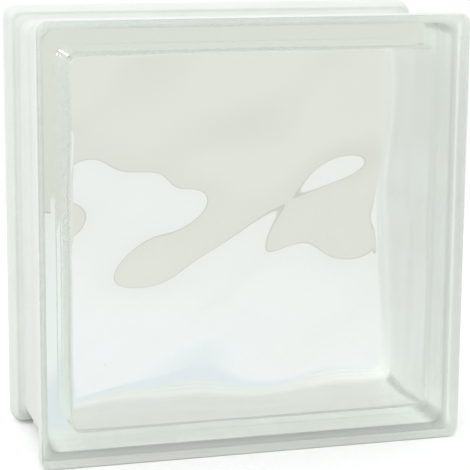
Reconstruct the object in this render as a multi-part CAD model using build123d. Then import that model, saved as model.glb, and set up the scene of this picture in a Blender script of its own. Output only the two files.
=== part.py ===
from build123d import *
import os
from math import atan, cos, degrees, pi, radians, sin

# Hollow pressed glass block, in millimetres.
# X runs across the block, Y from the front face to the back face and Z up.
# The origin is the middle of the underside.

# Overall size, over the lips of the two faces
block_width = 190.0
block_height = 190.0
block_depth = 80.0

# Lip round each face: a flat land, then a lean inwards down to the shoulder of the channel
lip_land = 4.5
lip_lean_run = 7.5
lip_lean_drop = 2.0
lip_corner_radius = 5.0
arris_radius = 1.6

# Channel round the edge, between the two lips
channel_depth = 4.8
channel_corner_radius = 6.0
channel_root_bevel = 1.8
channel_root_angle = 45.0

# Fused seam where the two pressed halves meet, raised a little outside and inside
seam_width = 5.0
seam_rise_outside = 0.5
seam_rise_inside = 0.8

# Glass thicknesses: the side walls thicken from the seam to the face
face_thickness = 8.0
wall_at_seam = 7.7
wall_at_face = 9.2
cavity_corner_radius = 7.0
cavity_root_radius = 2.5

# Waves pressed into the inside of each face: length, direction of travel in degrees
# from X towards Z, height above and below the mean, and phase in degrees at the middle
front_waves = [
    (65.9, 84.1, 1.34, 58.1),
    (88.9, 135.7, 1.16, 274.5),
    (51.8, 306.6, 0.44, 190.9),
    (48.2, 152.6, 0.41, 279.1),
    (46.0, 130.2, 0.26, 250.5),
]
back_waves = [
    (71.2, 84.5, 0.99, 301.3),
    (46.0, 124.7, 1.01, 316.0),
    (58.1, 62.3, 0.72, 253.3),
    (46.0, 150.2, 0.50, 218.0),
    (46.0, 104.8, 0.39, 197.1),
]
wave_clearance = 0.5
wave_points = 27

# Sizes that follow from the ones above
half_depth = block_depth / 2
middle_height = block_height / 2
lip_thickness = lip_land + lip_lean_run
cavity_floor = half_depth - face_thickness


def section(y, inset, corner):
    """Rounded rectangle across the block at depth y, inset all round from the lips."""
    outline = RectangleRounded(block_width - 2 * inset, block_height - 2 * inset, corner)
    return Plane.XZ.offset(-y) * Pos(0, middle_height) * outline


def edges_at(body, y):
    """The edges that lie wholly at depth y."""
    return body.edges().filter_by_position(Axis.Y, y, y)


def outer_half():
    """Outside of the front half: lip, shoulder, bevelled root and channel, from the face to the seam."""
    face = -half_depth
    inwards = (0, 1, 0)
    lean = degrees(atan(lip_lean_drop / lip_lean_run))
    land = extrude(section(face, 0, lip_corner_radius), lip_land, dir=inwards)
    slope = extrude(section(face + lip_land, 0, lip_corner_radius), -lip_lean_run, taper=lean)
    lip = fillet(edges_at(land + slope, face), arris_radius)
    channel = section(face + lip_land, channel_depth, channel_corner_radius)
    channel = extrude(channel, half_depth - lip_land, dir=inwards)
    bevel = channel_root_bevel
    root = section(face + lip_thickness, channel_depth - bevel, channel_corner_radius + bevel)
    root = extrude(root, -bevel, taper=channel_root_angle)
    return lip + channel + root


def wave_height(waves, x, z):
    """Height of the pressed waves at a place measured from the middle of the face."""
    total = 0.0
    for length, heading, height, phase in waves:
        along = x * cos(radians(heading)) + z * sin(radians(heading))
        total += height * sin(2 * pi * along / length + radians(phase))
    return total


def wave_rows(waves):
    """Rows of places on the waved inner side of the front face, out to the channel floor."""
    half_x = block_width / 2 - channel_depth
    half_z = block_height / 2 - channel_depth
    steps = [2 * i / (wave_points - 1) - 1 for i in range(wave_points)]
    rows = []
    for v in steps:
        z = half_z * v
        depths = [wave_height(waves, half_x * u, z) - cavity_floor for u in steps]
        rows.append([(half_x * u, y, middle_height + z) for u, y in zip(steps, depths)])
    return rows


def cavity_half(waves):
    """Hollow of the front half: a drafted well with a rounded root, its floor cut by the waves."""
    rows = wave_rows(waves)
    waved = extrude(Face.make_surface_from_array_of_points(rows), half_depth, dir=(0, 1, 0))
    deepest = wave_clearance - min(y for row in rows for _, y, _ in row)
    draft_angle = degrees(atan((wall_at_face - wall_at_seam) / cavity_floor))
    well = extrude(section(0, channel_depth + wall_at_seam, cavity_corner_radius), deepest)
    well = draft(well.faces().filter_by(Plane.XZ, reverse=True), Plane.XZ, draft_angle)
    well = fillet(edges_at(well, -deepest), cavity_root_radius)
    return well & waved


def seam_bead(inset, corner, rise):
    """Rounded ridge of fused glass round a wall at the seam, half of it sunk in the wall."""
    path = section(0, inset, corner).wire()
    across = Plane(origin=path @ 0, x_dir=(0, 1, 0), z_dir=path % 0)
    half = seam_width / 2
    lens = make_face(
        ThreePointArc((-half, 0), (0, rise), (half, 0)) + ThreePointArc((half, 0), (0, -rise), (-half, 0))
    )
    return sweep(across * lens, path=path)


def glass_block():
    """Two pressed halves fused at the seam, alike outside, each with waves of its own inside."""
    half = outer_half()
    outside = half + mirror(half, Plane.XZ)
    outside += seam_bead(channel_depth, channel_corner_radius, seam_rise_outside)
    inside = cavity_half(front_waves) + mirror(cavity_half(back_waves), Plane.XZ)
    inside -= seam_bead(channel_depth + wall_at_seam, cavity_corner_radius, seam_rise_inside)
    return outside - inside


os.makedirs("parts", exist_ok=True)
export_step(glass_block(), "parts/glass_block.step")
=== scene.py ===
import math

import bpy
import numpy as np
from mathutils import Matrix, Vector


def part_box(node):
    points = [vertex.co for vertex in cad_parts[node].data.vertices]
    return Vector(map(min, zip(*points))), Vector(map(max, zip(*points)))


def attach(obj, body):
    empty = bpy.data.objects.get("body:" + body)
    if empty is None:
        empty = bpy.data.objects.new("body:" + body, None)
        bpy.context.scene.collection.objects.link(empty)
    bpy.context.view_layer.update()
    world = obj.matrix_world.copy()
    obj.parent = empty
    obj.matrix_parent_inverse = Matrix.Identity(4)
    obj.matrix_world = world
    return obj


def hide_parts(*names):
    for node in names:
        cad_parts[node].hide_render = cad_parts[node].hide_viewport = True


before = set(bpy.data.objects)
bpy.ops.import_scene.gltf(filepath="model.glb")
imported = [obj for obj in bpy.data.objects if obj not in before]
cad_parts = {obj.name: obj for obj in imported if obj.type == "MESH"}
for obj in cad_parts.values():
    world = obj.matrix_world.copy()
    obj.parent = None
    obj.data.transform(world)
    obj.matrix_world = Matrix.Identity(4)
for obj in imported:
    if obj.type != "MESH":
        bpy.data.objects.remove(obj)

mm = 0.001
scene = bpy.context.scene
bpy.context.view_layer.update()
low, high = (np.array(corner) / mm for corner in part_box("glass_block"))
halfWidth, halfDepth, halfHeight = (high - low) / 2
middleHeight = (high[2] + low[2]) / 2
print("frame loaded, block", np.round(high - low, 2).tolist(), "mm")


# The pressed glass, in millimetres. The overall size comes from the frame.
block = dict(
    arrisRadius=1.6,            # rounding where a face meets its lip
    lipRadius=5.0,              # corners of the two faces
    lipLand=4.5,                # square part of the lip, from the face
    lipLeanRun=7.5,             # leaning part of the lip
    lipLeanDrop=2.0,
    kinkRadius=2.0,             # where the square part turns into the leaning part
    crestRadius=0.8,            # edge between the leaning part and the shoulder
    channelDepth=4.8,
    channelRadius=6.0,
    channelRootRadius=1.8,
    seamHalfWidth=2.5,
    seamRiseOutside=0.5,
    seamRiseInside=0.8,
    seamWander=0.22,            # share by which the seam's height wanders round the block
    seamWaves=[(5, 40.0), (11, 200.0), (17, 310.0), (29, 95.0)],    # bumps in one round, phase
    faceThickness=8.0,
    wallAtSeam=7.7,
    wallAtFace=9.2,
    cavityRadius=7.0,           # corners of the hollow at the seam
    cavityRootRadius=2.5,       # where its wall turns into the waved face
    # waves inside each face: length, heading in degrees from X towards Z, height, phase in degrees
    frontWaves=[
        (65.9, 84.1, 1.34, 58.1),
        (88.9, 135.7, 1.16, 274.5),
        (51.8, 306.6, 0.44, 190.9),
        (48.2, 152.6, 0.41, 279.1),
        (46.0, 130.2, 0.26, 250.5),
    ],
    backWaves=[
        (71.2, 84.5, 0.99, 301.3),
        (46.0, 124.7, 1.01, 316.0),
        (58.1, 62.3, 0.72, 253.3),
        (46.0, 150.2, 0.50, 218.0),
        (46.0, 104.8, 0.39, 197.1),
    ],
    # bubbles left in the glass: across, depth and height of the middle, and radius
    seeds=[
        (-66.4, -36.5, 44.3, 0.33),
        (17.8, -36.9, 78.6, 0.30),
        (91.4, -36.2, 170.9, 0.42),
        (-31.0, 36.4, 126.0, 0.26),
        (58.5, 36.0, 61.0, 0.36),
        (-87.2, 21.0, 118.0, 0.38),
        (44.0, -12.0, 10.2, 0.30),
    ],
    skinSteps=72,               # grid steps along each side and its corner, outside
    hollowSteps=96,             # the same inside
    cornerShare=0.14,           # share of those steps that turn the corner
    faceSteps=6,                # grid steps from the middle of a flat face to its edge
    floorSteps=36,              # from the middle of a waved face to the root of the hollow
    rootSteps=24,               # then round the root, along the wall and over the seam
    wallSteps=3,
    seamSteps=7,
    # rows of points along each stretch of the outer profile, ends included
    profileRows=dict(arris=15, land=3, kink=4, lean=4, crest=6, root=7, channel=8, seam=10),
    clearArrisRows=6,           # rows of the arris that the coating leaves clear
    seedRows=9,                 # rows from pole to pole of a bubble, and points round it
    seedSteps=14,
)


# Ring round the block. u counts the four sides from the underside's left corner: along a side
# the place runs straight over the unit square, then the direction turns a quarter round.
# A rounded rectangle is (half size - radius) * place + radius * direction.
# The wander is the mean of sin(bumps * angle round the ring + phase), for the seam's height.
def ringFrame(stepsPerSide):
    cornerShare = block["cornerShare"]
    u = np.arange(4 * stepsPerSide) / stepsPerSide
    side, share = np.floor(u), u - np.floor(u)
    run = np.clip(share / (1 - cornerShare), 0, 1) * 2 - 1
    turn = np.clip((share - 1 + cornerShare) / cornerShare, 0, 1) * math.pi / 2
    c, s = np.cos(side * math.pi / 2), np.sin(side * math.pi / 2)
    angle = side * math.pi / 2 + turn
    waves = [np.sin(math.pi / 2 * u * bumps + math.radians(phase)) for bumps, phase in block["seamWaves"]]
    return dict(
        place=np.stack([c * run + s, s * run - c], 1),
        direction=np.stack([np.sin(angle), -np.cos(angle)], 1),
        wander=block["seamWander"] * np.mean(waves, axis=0),
    )


# Places of a rounded rectangle of the given radius, set in or out from the block's outline.
def ringAt(ring, out, radius):
    half = (halfWidth, halfHeight)
    place, direction = ring["place"], ring["direction"]
    return [(half[i] + out - radius) * place[:, i] + radius * direction[:, i] for i in (0, 1)]


# Profile stretches as columns: out (towards the outline, 0 at the lips), y, and the normal's angle
# from outwards towards +Y. A line keeps one angle; an arc's points are its centre + radius * normal.
def lineStretch(start, end, angle, count):
    t = np.linspace(0, 1, count)[:, None]
    points = np.array(start) * (1 - t) + np.array(end) * t
    return np.column_stack([points, np.full(count, math.radians(angle))])


def arcStretch(centre, radius, startAngle, endAngle, count, hollow=False):
    a = np.radians(np.linspace(startAngle, endAngle, count))
    reach = -radius if hollow else radius
    return np.column_stack([centre[0] + reach * np.cos(a), centre[1] + reach * np.sin(a), a])


# Ridge of fused glass outside: height = rise * cos^2 of the place across it.
def seamStretch(base, rise, count):
    half = block["seamHalfWidth"]
    y = np.linspace(-half, 0, count)
    slope = rise * math.pi / 2 / half * np.sin(math.pi * y / half)
    return np.column_stack([base + rise * np.cos(math.pi / 2 * y / half) ** 2, y, np.arctan(slope)])


# Outside of the front half, from the edge of the face over lip, shoulder and channel to the seam,
# with the name of each row's stretch.
def outerProfile():
    b = block
    face, land = -halfDepth, -halfDepth + b["lipLand"]
    shoulder, channel = land + b["lipLeanRun"], -b["channelDepth"]
    arris, kink, crest, root = b["arrisRadius"], b["kinkRadius"], b["crestRadius"], b["channelRootRadius"]
    leanAngle = math.atan2(b["lipLeanDrop"], b["lipLeanRun"])
    c, s, lean = math.cos(leanAngle), math.sin(leanAngle), math.degrees(leanAngle)
    # the kink's arc touches land and lean, the crest's arc touches lean and shoulder
    kinkY = land - kink * math.tan(leanAngle / 2)
    crestCentre = (-b["lipLeanDrop"] - crest * (1 - s) / c, shoulder - crest)
    leanStart = (kink * (c - 1), kinkY + kink * s)
    leanEnd = (crestCentre[0] + crest * c, crestCentre[1] + crest * s)
    rootCentre, seamStart = (channel + root, shoulder + root), (channel, -b["seamHalfWidth"])
    rows = b["profileRows"]
    stretches = [
        ("lip", arcStretch((-arris, face + arris), arris, -90, 0, rows["arris"])),
        ("lip", lineStretch((0, face + arris), (0, kinkY), 0, rows["land"])),
        ("lip", arcStretch((-kink, kinkY), kink, 0, lean, rows["kink"])),
        ("lean", lineStretch(leanStart, leanEnd, lean, rows["lean"])[1:]),
        ("shoulder", arcStretch(crestCentre, crest, lean, 90, rows["crest"])[1:]),
        ("root", arcStretch(rootCentre, root, 90, 0, rows["root"], hollow=True)),
        ("channel", lineStretch((channel, rootCentre[1]), seamStart, 0, rows["channel"])[1:]),
        ("seam", seamStretch(channel, b["seamRiseOutside"], rows["seam"])[1:]),
    ]
    names = [name for name, points in stretches for _ in points]
    return np.concatenate([points for _, points in stretches]), names


# Waves of one face: sum of height * sin(2 pi * distance along the heading / length + phase).
# Returns the height and its slopes along X and Z.
def waveField(waves, x, z):
    height, slopeX, slopeZ = np.zeros_like(x), np.zeros_like(x), np.zeros_like(x)
    for length, heading, rise, phase in waves:
        c, s = math.cos(math.radians(heading)), math.sin(math.radians(heading))
        k = 2 * math.pi / length
        a = k * (x * c + z * s) + math.radians(phase)
        height += rise * np.sin(a)
        slopeX += rise * k * c * np.cos(a)
        slopeZ += rise * k * s * np.cos(a)
    return height, slopeX, slopeZ


# Fields of a skin: points and normals, the coating's painted glow there, its painted shade in
# the colour, and how rippled the glass is.
def skinFields(points, normals, paintedGlow=0.0, paintedShade=1.0, ripple=0.0):
    flat = np.zeros(points.shape[:2])
    return dict(points=points, normals=normals, paintedGlow=flat + paintedGlow, paintedShade=flat + paintedShade, ripple=flat + ripple)


def joined(parts):
    return {key: np.concatenate([part[key] for part in parts]) for key in parts[0]}


# The front half's fields turned over to the back, from the seam on.
def mirrored(fields):
    back = {key: values[::-1][1:].copy() for key, values in fields.items()}
    for key in ("points", "normals"):
        back[key][..., 1] *= -1
    return back


# Outer skin, front half: rings that grow over the flat face, then the profile carried round the
# ring. The outline's corner radius blends from the lip's own to the channel's. The painted glow
# that stands for light through the coating is blended from the underside's value over the sides'
# to the top's as painted light and shade, less at the corners of the channel as painted shade.
def outerHalf(ring, paintedGlowByStretch):
    b = block
    profile, names = outerProfile()
    out, y, angle = (profile[:, i:i + 1] for i in range(3))
    lipEnd = -b["lipLeanDrop"]
    radii = [b["channelRadius"], b["lipRadius"] + lipEnd, b["lipRadius"]]
    radius = np.interp(out, [-b["channelDepth"], lipEnd, 0], radii)
    ridge = np.where(y > -b["seamHalfWidth"], out + b["channelDepth"], 0)
    x, z = ringAt(ring, out + ridge * ring["wander"], radius)
    across, along = ring["direction"][:, 0], ring["direction"][:, 1]
    points = np.stack([x, y + 0 * x, z], 2)
    normals = np.stack([np.cos(angle) * across, np.sin(angle) + 0 * x, np.cos(angle) * along], 2)
    # painted glow for light through the film, taken down at the channel's corners as painted shade
    paintedGlow = np.array([np.interp(along, [-1, 0, 1], paintedGlowByStretch[name]) for name in names])
    inChannel = np.array([name in ("channel", "seam") for name in names])[:, None]
    paintedGlow *= 1 - coatLook["cornerShade"] * inChannel * 2 * np.abs(across * along)
    # painted shade: the coating's colour darkened on the lean, shoulder, root and seam
    paintedShade = np.array([coatLook["paintedShade"][name] for name in names])[:, None]
    skin = skinFields(points, normals, paintedGlow, paintedShade)

    # the flat face's rings, as shares of the first ring of the arris
    shares = np.linspace(0, 1, b["faceSteps"] + 1)[:-1, None]
    edgeX, edgeY, edgeZ = points[0].T
    facePoints = np.stack([edgeX * shares, edgeY + 0 * shares, edgeZ * shares], 2)
    faceNormals = np.zeros_like(facePoints)
    faceNormals[..., 1] = -1
    return joined([skinFields(facePoints, faceNormals), skin])


# Front half of the hollow, from the middle of the waved face out to its root, along the drafted
# wall and over the seam. Depth of the floor = mean depth - waves. The root is a quarter arc sheared
# by the waves, so that it touches the floor and the wall everywhere.
def hollowHalf(waves, ring):
    b = block
    across, along = ring["direction"][:, 0], ring["direction"][:, 1]
    floorDepth = halfDepth - b["faceThickness"]
    seamOut = -b["channelDepth"] - b["wallAtSeam"]
    draft = math.atan2(b["wallAtFace"] - b["wallAtSeam"], floorDepth)
    lean, r = math.tan(draft), b["cavityRootRadius"]

    def hollowAt(out):
        return ringAt(ring, out, b["cavityRadius"] + out - seamOut)

    # normal = part towards the ring's direction, y part, and the waves' tilt
    def fieldsOf(x, y, z, outward, inward, ripple, tiltX=0.0, tiltZ=0.0):
        flat = 0 * (x + y)
        points = np.stack([x + flat, y + flat, z + flat], 2)
        normals = [outward * across + tiltX + flat, inward + flat, outward * along + tiltZ + flat]
        return skinFields(points, np.stack(normals, 2), ripple=ripple)

    # where the root's arc ends on the wall, found from the floor's height just inside it
    x, z = hollowAt(np.array([[seamOut - floorDepth * lean - r]]))
    rootEndY = waveField(waves, x, z)[0] - floorDepth + r * (1 - math.sin(draft))
    arcCentre = seamOut + rootEndY * lean - r * math.cos(draft)

    x, z = hollowAt(arcCentre)
    shares = (np.arange(b["floorSteps"] + 1) / b["floorSteps"])[:, None]
    x, z = x * shares, z * shares
    height, slopeX, slopeZ = waveField(waves, x, z)
    floor = fieldsOf(x, height - floorDepth, z, 0.0, 1.0, glassLook["faceRipple"], -slopeX, -slopeZ)

    # the root's angle runs from straight inwards to the wall's draft
    a = np.linspace(math.pi / 2, draft, b["rootSteps"] + 1)[1:, None]
    c, s = np.cos(a), np.sin(a)
    x, z = hollowAt(arcCentre + r * c)
    height, slopeX, slopeZ = waveField(waves, x, z)
    y = height - floorDepth + r * (1 - s)
    root = fieldsOf(x, y, z, -c, s, glassLook["rootRipple"], -slopeX * s, -slopeZ * s)

    t = np.linspace(0, 1, b["wallSteps"] + 1)[1:, None]
    y = y[-1] * (1 - t) - b["seamHalfWidth"] * t
    x, z = hollowAt(seamOut + y * lean)
    wall = fieldsOf(x, y, z, -math.cos(draft), math.sin(draft), 1.0)

    # ridge of height rise * cos^2 that stands into the hollow
    y = np.linspace(-b["seamHalfWidth"], 0, b["seamSteps"] + 1)[1:, None]
    k = math.pi / 2 / b["seamHalfWidth"]
    ridge, rise = np.cos(k * y) ** 2, b["seamRiseInside"] * (1 + ring["wander"])
    x, z = hollowAt(seamOut + y * lean * (1 - ridge) - rise * ridge)
    slope = lean * (1 - ridge + y * k * np.sin(2 * k * y)) + rise * k * np.sin(2 * k * y)
    seam = fieldsOf(x, y, z, -1.0, slope, 1.0)
    return joined([floor, root, wall, seam])


# Bubble in the glass: a small ball whose surface faces its own middle.
def seedBall(across, depth, height, radius):
    a = np.linspace(0, math.pi, block["seedRows"])[:, None]
    b = np.arange(block["seedSteps"]) * 2 * math.pi / block["seedSteps"]
    outward = np.stack([np.sin(a) * np.cos(b), -np.cos(a) + 0 * b, np.sin(a) * np.sin(b)], 2)
    return skinFields(outward * radius + [across, depth, height - middleHeight], -outward)


# Rows of rings as one list of vertices. The first and last rows are single places, the poles.
def unrolled(rows):
    return np.concatenate([rows[:1, 0], rows[1:-1].reshape(-1, *rows.shape[2:]), rows[-1:, 0]])


# Faces between neighbouring rings and round the poles, turned over when the skin faces inwards.
def skinFaces(count, around, firstVertex, inwards):
    ring = firstVertex + 1 + np.arange((count - 2) * around).reshape(count - 2, around)
    nextRing = np.roll(ring, -1, axis=1)
    lastVertex = ring[-1, -1] + 1
    quads = np.stack([ring[:-1], nextRing[:-1], nextRing[1:], ring[1:]], 2).reshape(-1, 4)
    front = np.stack([np.full(around, firstVertex), nextRing[0], ring[0]], 1)
    back = np.stack([np.full(around, lastVertex), ring[-1], nextRing[-1]], 1)
    triangles = np.concatenate([front, back])
    return (quads, triangles) if inwards else (quads[:, ::-1], triangles[:, ::-1])


# The whole block: outer skin, hollow and bubbles as one closed mesh. The coating takes the rows of
# the outer skin between the two clear faces.
def makeBlock(name):
    outerRing, innerRing = ringFrame(block["skinSteps"]), ringFrame(block["hollowSteps"])
    outside = [outerHalf(outerRing, coatLook[key]) for key in ("paintedGlowByStretch", "paintedGlowByStretchBack")]
    hollow = [hollowHalf(block[key], innerRing) for key in ("frontWaves", "backWaves")]
    skins = [joined([front, mirrored(back)]) for front, back in (outside, hollow)]
    skins += [seedBall(*seed) for seed in block["seeds"]]
    quads, triangles, coated, firstVertex = [], [], [], 0
    for index, skin in enumerate(skins):
        count, around = skin["paintedGlow"].shape
        skinQuads, skinTriangles = skinFaces(count, around, firstVertex, inwards=index > 0)
        row = np.arange(len(skinQuads)) // around + 1
        clearRows = block["faceSteps"] + block["clearArrisRows"]
        band = (row >= clearRows) & (row < count - 1 - clearRows) & (index == 0)
        quads.append(skinQuads)
        triangles.append(skinTriangles)
        coated.append(band)
        firstVertex += (count - 2) * around + 2
    fields = {key: np.concatenate([unrolled(skin[key]) for skin in skins]) for key in skins[0]}
    quads, triangles, coated = (np.concatenate(part) for part in (quads, triangles, coated))
    points = (fields["points"] + [0, 0, middleHeight]) * mm
    normals = fields["normals"] / np.linalg.norm(fields["normals"], axis=1, keepdims=True)
    mesh = bpy.data.meshes.new(name)
    mesh.from_pydata(points.tolist(), [], quads.tolist() + triangles.tolist())
    mesh.polygons.foreach_set("material_index", np.append(coated, np.zeros(len(triangles))).astype(int))
    mesh.polygons.foreach_set("use_smooth", np.ones(len(mesh.polygons), bool))
    for key in ("paintedGlow", "paintedShade", "ripple"):
        mesh.attributes.new(key, "FLOAT", "POINT").data.foreach_set("value", fields[key])
    mesh.update()
    mesh.normals_split_custom_set_from_vertices(normals.tolist())
    piece = bpy.data.objects.new(name, mesh)
    scene.collection.objects.link(piece)
    print(name, len(points), "points,", 2 * len(quads) + len(triangles), "triangles")
    return piece


glassLook = dict(
    ior=1.52,
    roughness=0.0,
    absorbColor=(0.70, 0.82, 0.75, 1),
    absorbDensity=3.5,
    rippleLength=7.0,           # press marks round the hollow's walls, mm apart
    rippleHeight=0.03,          # mm
    rippleDistortion=3.0,       # how far the marks wander from straight lines
    rippleDetail=2.0,
    rippleDetailScale=0.35,
    faceRipple=0.02,            # share of that height on the waved faces
    rootRipple=0.15,
)
coatLook = dict(
    color=(0.775, 0.797, 0.757, 1),
    stainColor=(0.735, 0.762, 0.722, 1),
    roughness=0.50,
    roughnessSpread=0.06,       # to each side of it
    specular=0.45,
    mottleScale=55.0,           # cloudy mottling, per metre
    streakScale=(9.0, 150.0, 9.0),      # streaks drawn round the block: close along the depth
    stainRange=(0.75, 1.25),    # sum of the two noises from clean to stained
    thinSpread=0.1,             # share by which the streaks change the painted glow
    grainScale=900.0,
    grainHeight=0.05,           # mm
    # share of the colour left on each stretch: painted shade on the lean, shoulder and root, and darker along
    # the seam
    paintedShade=dict(lip=1.0, lean=0.975, shoulder=0.95, root=0.94, channel=1.0, seam=0.945),
    # painted glow that stands for light through the film, seen from inside the glass, with painted shade
    # where it is low: underside, sides, top
    paintedGlowByStretch=dict(
        lip=(0.30, 0.34, 0.34),
        lean=(0.25, 0.33, 0.31),
        shoulder=(0.08, 0.39, 0.31),
        root=(0.07, 0.26, 0.30),
        channel=(0.37, 0.35, 0.30),
        seam=(0.37, 0.35, 0.30),
    ),
    # the same painted glow on the back half, whose shoulder faces the light
    paintedGlowByStretchBack=dict(
        lip=(0.54, 0.40, 0.50),
        lean=(0.45, 0.42, 0.48),
        shoulder=(0.44, 0.42, 0.48),
        root=(0.42, 0.40, 0.42),
        channel=(0.38, 0.36, 0.31),
        seam=(0.37, 0.35, 0.30),
    ),
    cornerShade=0.60,            # painted shade: share of that glow taken off where the channel turns a corner
    paintedGlowColor=(0.97, 1.0, 0.95, 1),
)


# Adds a shader node. A socket given as a value is linked, any other value is set.
def addNode(tree, kind, values, **settings):
    node = tree.nodes.new("ShaderNode" + kind)
    for key, value in settings.items():
        setattr(node, key, value)
    for key, value in values.items():
        if isinstance(value, bpy.types.NodeSocket):
            tree.links.new(value, node.inputs[key])
        else:
            node.inputs[key].default_value = value
    return node


def newMaterial(name):
    material = bpy.data.materials.new(name)
    material.use_nodes = True
    return material, material.node_tree


def colorRamp(tree, factor, stops):
    node = addNode(tree, "ValToRGB", {"Fac": factor})
    elements = node.color_ramp.elements
    for index, (place, color) in enumerate(stops):
        element = elements[index] if index < 2 else elements.new(place)
        element.position, element.color = place, color
    return node.outputs["Color"]


# Clear glass with faint press marks: waves along the depth, scaled by the ripple attribute.
def clearGlass():
    look = glassLook
    material, tree = newMaterial("clear_pressed_glass")
    shader = tree.nodes["Principled BSDF"]
    shader.inputs["Base Color"].default_value = (1, 1, 1, 1)
    shader.inputs["Roughness"].default_value = look["roughness"]
    shader.inputs["IOR"].default_value = look["ior"]
    shader.inputs["Transmission Weight"].default_value = 1
    place = addNode(tree, "TexCoord", {}).outputs["Object"]
    marks = addNode(tree, "TexWave", {
        "Vector": place,
        "Scale": 2 * math.pi / (20 * look["rippleLength"] * mm),    # a band is 2 pi / (20 * scale) long
        "Distortion": look["rippleDistortion"],
        "Detail": look["rippleDetail"],
        "Detail Scale": look["rippleDetailScale"],
    }, wave_type="BANDS", bands_direction="Y")
    share = addNode(tree, "Attribute", {}, attribute_name="ripple").outputs["Fac"]
    height = addNode(tree, "Math", {0: marks.outputs["Fac"], 1: share}, operation="MULTIPLY")
    bump = addNode(tree, "Bump", {"Height": height.outputs[0], "Distance": look["rippleHeight"] * mm})
    tree.links.new(bump.outputs["Normal"], shader.inputs["Normal"])
    absorbing = {"Color": look["absorbColor"], "Density": look["absorbDensity"]}
    absorb = addNode(tree, "VolumeAbsorption", absorbing).outputs[0]
    tree.links.new(absorb, tree.nodes["Material Output"].inputs["Volume"])
    return material


# Matt coating: mottled and faintly streaked round the block, with a fine grain and painted shade.
# Seen from inside the glass it has a painted glow, set by an attribute, in the same streaks.
def channelCoat():
    look = coatLook
    material, tree = newMaterial("channel_coating")
    shader = tree.nodes["Principled BSDF"]
    shader.inputs["Specular IOR Level"].default_value = look["specular"]
    shader.inputs["Emission Color"].default_value = look["paintedGlowColor"]
    place = addNode(tree, "TexCoord", {}).outputs["Object"]
    cloudy = {"Vector": place, "Scale": look["mottleScale"], "Detail": 5.0, "Roughness": 0.6}
    mottle = addNode(tree, "TexNoise", cloudy).outputs["Fac"]
    drawn = addNode(tree, "Mapping", {"Vector": place, "Scale": look["streakScale"]}).outputs[0]
    streak = addNode(tree, "TexNoise", {"Vector": drawn, "Scale": 1.0, "Detail": 3.0}).outputs["Fac"]
    stain = addNode(tree, "Math", {0: mottle, 1: streak}, operation="ADD").outputs[0]
    clean, full = look["stainRange"]
    stained = addNode(tree, "MapRange", {0: stain, 1: clean, 2: full, 3: 0.0, 4: 1.0}).outputs[0]
    tinting = {0: stained, 6: look["color"], 7: look["stainColor"]}
    tint = addNode(tree, "Mix", tinting, data_type="RGBA").outputs[2]
    # painted shade by stretch, multiplied into the coating's colour
    paintedShade = addNode(tree, "Attribute", {}, attribute_name="paintedShade").outputs["Fac"]
    shadeMix = {0: 1.0, 6: tint, 7: paintedShade}
    shadedTint = addNode(tree, "Mix", shadeMix, data_type="RGBA", blend_type="MULTIPLY").outputs[2]
    tree.links.new(shadedTint, shader.inputs["Base Color"])
    smooth, coarse = (look["roughness"] + side * look["roughnessSpread"] for side in (-1, 1))
    rough = addNode(tree, "MapRange", {0: mottle, 1: 0.3, 2: 0.7, 3: smooth, 4: coarse}).outputs[0]
    tree.links.new(rough, shader.inputs["Roughness"])
    grain = addNode(tree, "TexNoise", {"Vector": place, "Scale": look["grainScale"], "Detail": 3.0})
    bump = addNode(tree, "Bump", {"Height": grain.outputs["Fac"], "Distance": look["grainHeight"] * mm})
    tree.links.new(bump.outputs["Normal"], shader.inputs["Normal"])

    # painted glow: emission seen only from inside the glass, standing in for light through the film
    paintedGlow = addNode(tree, "Attribute", {}, attribute_name="paintedGlow").outputs["Fac"]
    inside = addNode(tree, "NewGeometry", {}).outputs["Backfacing"]
    through = addNode(tree, "Math", {0: paintedGlow, 1: inside}, operation="MULTIPLY").outputs[0]
    thick, thin = 1 - look["thinSpread"], 1 + look["thinSpread"]
    film = addNode(tree, "MapRange", {0: streak, 1: 0.3, 2: 0.7, 3: thick, 4: thin}).outputs[0]
    glow = addNode(tree, "Math", {0: through, 1: film}, operation="MULTIPLY").outputs[0]
    tree.links.new(glow, shader.inputs["Emission Strength"])
    return material


piece = makeBlock("pressed_block")
piece.data.materials.append(clearGlass())
piece.data.materials.append(channelCoat())
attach(piece, "root")
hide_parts("glass_block")
print("block dressed")


# Studio: pale floor whose far edge shows through the block, a plain world and one soft lamp.
studio = dict(
    floorEdge=484.2,            # from the middle to each edge, mm
    floorTurn=33.5,             # heading of the far edge from +Y towards +X, degrees
    floorDrop=0.1,              # below the block's underside, so that the two don't touch, mm
    floorColor=(0.80, 0.81, 0.80, 1),
    floorGlow=0.22,             # lifts the floor to white for the camera
    # the floor as the glass shows it, by share of the way to the far edge: a painted shadow of the
    # block close to it, the open floor, and a darker rim painted as the shadow at the floor's edge
    floorThrough=[
        (0.110, (0.770, 0.840, 0.850, 1)),
        (0.175, (0.893, 0.930, 0.930, 1)),
        (0.280, (0.890, 0.925, 0.910, 1)),
        (0.55, (0.875, 0.905, 0.880, 1)),
        (0.982, (0.835, 0.862, 0.825, 1)),
        (0.990, (0.58, 0.585, 0.50, 1)),
    ],
    # what the glass shows beyond the floor, by the sight line's rise or fall
    backdrop=[
        (-0.27, (0.695, 0.705, 0.635, 1)),
        (-0.10, (0.755, 0.770, 0.700, 1)),
        (0.30, (0.755, 0.770, 0.705, 1)),
        (0.70, (0.93, 0.965, 0.975, 1)),
    ],
    # small bright places in it, seen as glints: heading, half width in degrees
    glints=[
        ((-0.20, 0.94, 0.28), 1.8),
        ((-0.35, 0.92, 0.18), 1.2),
    ],
    glintColor=(7.0, 7.2, 7.4, 1),
    ambientLow=(0.96, 0.972, 0.965, 1),
    ambientHigh=(1.06, 1.075, 1.075, 1),
    lampPlace=(-0.8, -1.0, 1.5),        # metres
    lampSize=1.6,
    lampPower=9,                # watts
    lightBounces=24,            # enough for light to cross the block's skins and its corners
    mirrorBounces=16,
)
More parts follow.
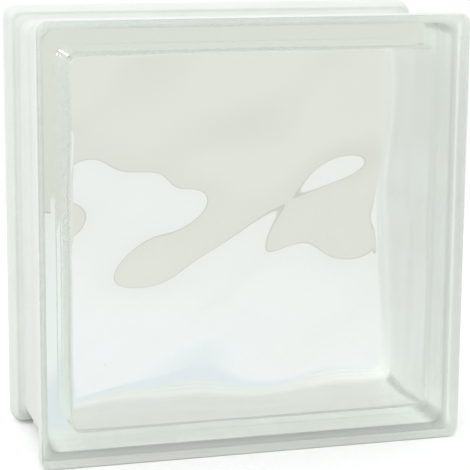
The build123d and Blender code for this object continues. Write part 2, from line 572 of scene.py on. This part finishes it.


# Floor: matt and lit for most rays, lifted to white for the camera, and a plain ramp of colours
# along its heading, with painted shadow near the block and at the far edge, for rays through glass.
def studioFloor():
    a = math.radians(studio["floorTurn"])
    edge = studio["floorEdge"] * mm
    heading, side = np.array([math.sin(a), math.cos(a), 0]), np.array([math.cos(a), -math.sin(a), 0])
    drop = np.array([0, 0, -studio["floorDrop"] * mm])
    corners = [edge * (x * side + y * heading) + drop for x, y in ((-1, -1), (1, -1), (1, 1), (-1, 1))]
    mesh = bpy.data.meshes.new("studio_floor")
    mesh.from_pydata([corner.tolist() for corner in corners], [], [(0, 1, 2, 3)])
    floor = bpy.data.objects.new("studio_floor", mesh)
    scene.collection.objects.link(floor)
    material, tree = newMaterial("pale_floor")
    tree.nodes.clear()
    diffuse = addNode(tree, "BsdfDiffuse", {"Color": studio["floorColor"]}).outputs[0]
    glow = addNode(tree, "Emission", {"Strength": studio["floorGlow"]}).outputs[0]
    lifted = addNode(tree, "AddShader", {0: diffuse, 1: glow}).outputs[0]
    place = addNode(tree, "TexCoord", {}).outputs["Object"]
    # share of the way to the far edge = place . heading / edge
    along = addNode(tree, "VectorMath", {0: place, 1: heading / edge}, operation="DOT_PRODUCT")
    # painted shadow of the block close to it and at the floor's far edge, in this ramp
    shown = colorRamp(tree, along.outputs["Value"], studio["floorThrough"])
    through = addNode(tree, "Emission", {"Color": shown}).outputs[0]
    path = addNode(tree, "LightPath", {}).outputs
    direct = addNode(tree, "MixShader", {0: path["Is Camera Ray"], 1: diffuse, 2: lifted}).outputs[0]
    glass = addNode(tree, "MixShader", {0: path["Is Transmission Ray"], 1: direct, 2: through}).outputs[0]
    addNode(tree, "OutputMaterial", {"Surface": glass})
    mesh.materials.append(material)


# World: white for the camera, the backdrop where glass shows it without a matt surface between,
# else the light that falls on the block, a little stronger from above.
def studioWorld():
    world = bpy.data.worlds.new("studio")
    scene.world = world
    world.use_nodes = True
    tree = world.node_tree
    path = addNode(tree, "LightPath", {}).outputs
    place = addNode(tree, "TexCoord", {}).outputs["Generated"]
    rise = addNode(tree, "SeparateXYZ", {0: place}).outputs["Z"]
    unscattered = addNode(tree, "Math", {0: path["Diffuse Depth"], 1: 0.5}, operation="LESS_THAN").outputs[0]
    clearing = {0: path["Is Transmission Ray"], 1: unscattered}
    clear = addNode(tree, "Math", clearing, operation="MULTIPLY").outputs[0]
    # the ramp runs over (rise + 1) / 2, from straight down to straight up
    half = addNode(tree, "MapRange", {0: rise, 1: -1.0, 2: 1.0, 3: 0.0, 4: 1.0}).outputs[0]
    backdrop = colorRamp(tree, half, [((z + 1) / 2, color) for z, color in studio["backdrop"]])
    for heading, width in studio["glints"]:
        heading = Vector(heading).normalized()
        # full inside half the width, fading to nothing at the width
        toward = addNode(tree, "VectorMath", {0: place, 1: heading}, operation="DOT_PRODUCT").outputs["Value"]
        rim, middle = math.cos(math.radians(width)), math.cos(math.radians(width / 2))
        spot = addNode(tree, "MapRange", {0: toward, 1: rim, 2: middle, 3: 0.0, 4: 1.0}).outputs[0]
        lit = {0: spot, 6: backdrop, 7: studio["glintColor"]}
        backdrop = addNode(tree, "Mix", lit, data_type="RGBA").outputs[2]
    ambient = {0: rise, 6: studio["ambientLow"], 7: studio["ambientHigh"]}
    sky = addNode(tree, "Mix", ambient, data_type="RGBA").outputs[2]
    around = addNode(tree, "Mix", {0: clear, 6: sky, 7: backdrop}, data_type="RGBA").outputs[2]
    white = {0: path["Is Camera Ray"], 6: around, 7: (1, 1, 1, 1)}
    shown = addNode(tree, "Mix", white, data_type="RGBA").outputs[2]
    tree.links.new(shown, tree.nodes["Background"].inputs["Color"])


# Square lamp aimed at the block's middle. Neither the camera nor the glass shows it.
def softLamp(name, place, size, power):
    data = bpy.data.lights.new(name, "AREA")
    data.size = size
    data.energy = power
    lamp = bpy.data.objects.new(name, data)
    scene.collection.objects.link(lamp)
    lamp.visible_camera = False
    lamp.visible_transmission = False
    lamp.location = place
    aim = Vector((0, 0, middleHeight * mm)) - lamp.location
    lamp.rotation_euler = aim.to_track_quat("-Z", "Y").to_euler()


# Camera of the photograph: azimuth from -Y towards +X in degrees, distances in mm, focal length
# and frame in pixels, sensor in mm.
view = dict(
    azimuth=-16.34,
    elevation=11.45,
    roll=0.42,
    distance=822.4,
    slideRight=1.26,
    slideUp=-5.51,
    focal=1843.0,
    frame=470.0,
    sensor=36,
)


# Place = distance along the line back from the block's middle, slid right and up across it.
def placeCamera():
    a, e, r = (math.radians(view[k]) for k in ("azimuth", "elevation", "roll"))
    back = np.array([math.sin(a) * math.cos(e), -math.cos(a) * math.cos(e), math.sin(e)])
    level = np.array([math.cos(a), math.sin(a), 0])
    raised = np.cross(back, level)
    right = math.cos(r) * level + math.sin(r) * raised
    up = math.cos(r) * raised - math.sin(r) * level
    place = back * view["distance"] + right * view["slideRight"] + up * view["slideUp"]
    data = bpy.data.cameras.new("camera")
    data.sensor_width = view["sensor"]
    data.lens = view["focal"] / view["frame"] * view["sensor"]
    camera = bpy.data.objects.new("camera", data)
    scene.collection.objects.link(camera)
    matrix = np.eye(4)
    matrix[:3, :3] = np.stack([right, up, back], 1)
    matrix[:3, 3] = (place + [0, 0, middleHeight]) * mm
    camera.matrix_world = Matrix(matrix.tolist())
    scene.camera = camera


studioFloor()
studioWorld()
softLamp("key_lamp", studio["lampPlace"], studio["lampSize"], studio["lampPower"])
placeCamera()
scene.view_settings.view_transform = "Standard"
scene.cycles.denoising_input_passes = "RGB"      # guided by colour alone, or zone borders come out stitched
scene.cycles.max_bounces = studio["lightBounces"]
scene.cycles.transmission_bounces = studio["lightBounces"]
scene.cycles.glossy_bounces = studio["mirrorBounces"]
print("studio ready")
